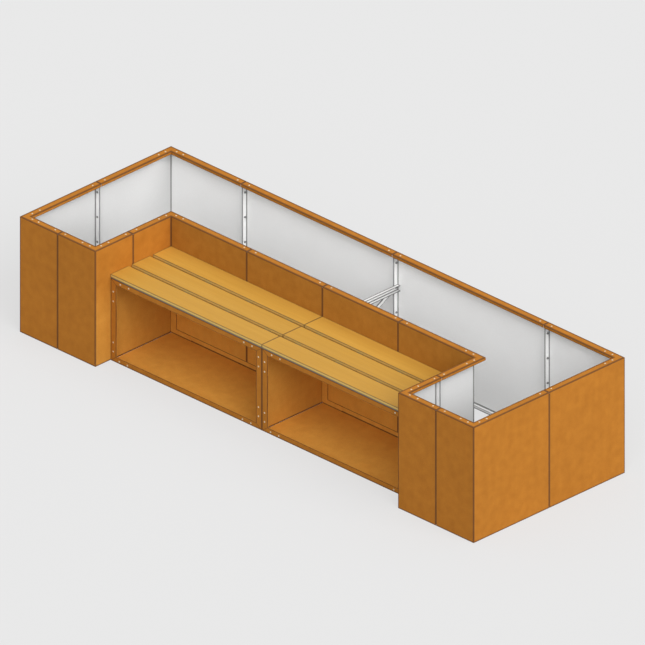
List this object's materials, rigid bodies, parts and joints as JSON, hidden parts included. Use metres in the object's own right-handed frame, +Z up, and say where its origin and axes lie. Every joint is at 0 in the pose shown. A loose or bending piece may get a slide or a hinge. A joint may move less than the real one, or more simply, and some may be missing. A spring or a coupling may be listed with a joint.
{
  "type": "bench with planter",
  "caption": "Slatted street bench on open-fronted sheet-steel boxes, set into the front of a long U-shaped planter of folded, bolted weathering-steel panels.",
  "frame": {"origin": "on the ground under the middle of the whole", "axes": "+X along the bench, to the right as seen from its front; +Y from the front to the back; +Z up"},
  "size_m": [3, 1, 0.61],
  "materials": {
    "weathering_steel": "rust-brown weathered outside, light grey coat inside",
    "galvanised_steel": "light grey zinc",
    "bolt_steel": "dark burnished steel",
    "wood_board": "oiled, fine straight grain"
  },
  "bodies": {
    "root": {"wall_front_left": "weathering_steel", "wall_back_left": "weathering_steel", "wall_back_right": "weathering_steel", "wall_front_right": "weathering_steel", "wall_arm_inner_left": "weathering_steel", "wall_arm_inner_right": "weathering_steel", "wall_recess_corner_left": "weathering_steel", "wall_recess_corner_right": "weathering_steel", "wall_back_centre_left": "weathering_steel", "wall_back_centre_right": "weathering_steel", "wall_recess_back_left": "weathering_steel", "wall_recess_back_right": "weathering_steel", "bench_left_side_left": "weathering_steel", "bench_left_side_right": "weathering_steel", "bench_left_floor": "weathering_steel", "bench_left_deck": "weathering_steel", "bench_right_side_left": "weathering_steel", "bench_right_side_right": "weathering_steel", "bench_right_floor": "weathering_steel", "bench_right_deck": "weathering_steel", "board_left_front": "wood_board", "board_left_middle": "wood_board", "board_left_back": "wood_board", "board_right_front": "wood_board", "board_right_middle": "wood_board", "board_right_back": "wood_board", "seat_flat_left_front": "galvanised_steel", "seat_flat_left_back": "galvanised_steel", "seat_flat_right_front": "galvanised_steel", "seat_flat_right_back": "galvanised_steel", "seat_cross_flats_left": "galvanised_steel", "seat_cross_flats_right": "galvanised_steel", "corner_plates": "galvanised_steel", "splice_plates": "galvanised_steel", "bench_corner_plates": "galvanised_steel", "tie_channel": "galvanised_steel", "tie_brace": "galvanised_steel", "joint_bolts": "bolt_steel", "tie_bolts": "bolt_steel"}
  },
  "joints": []
}
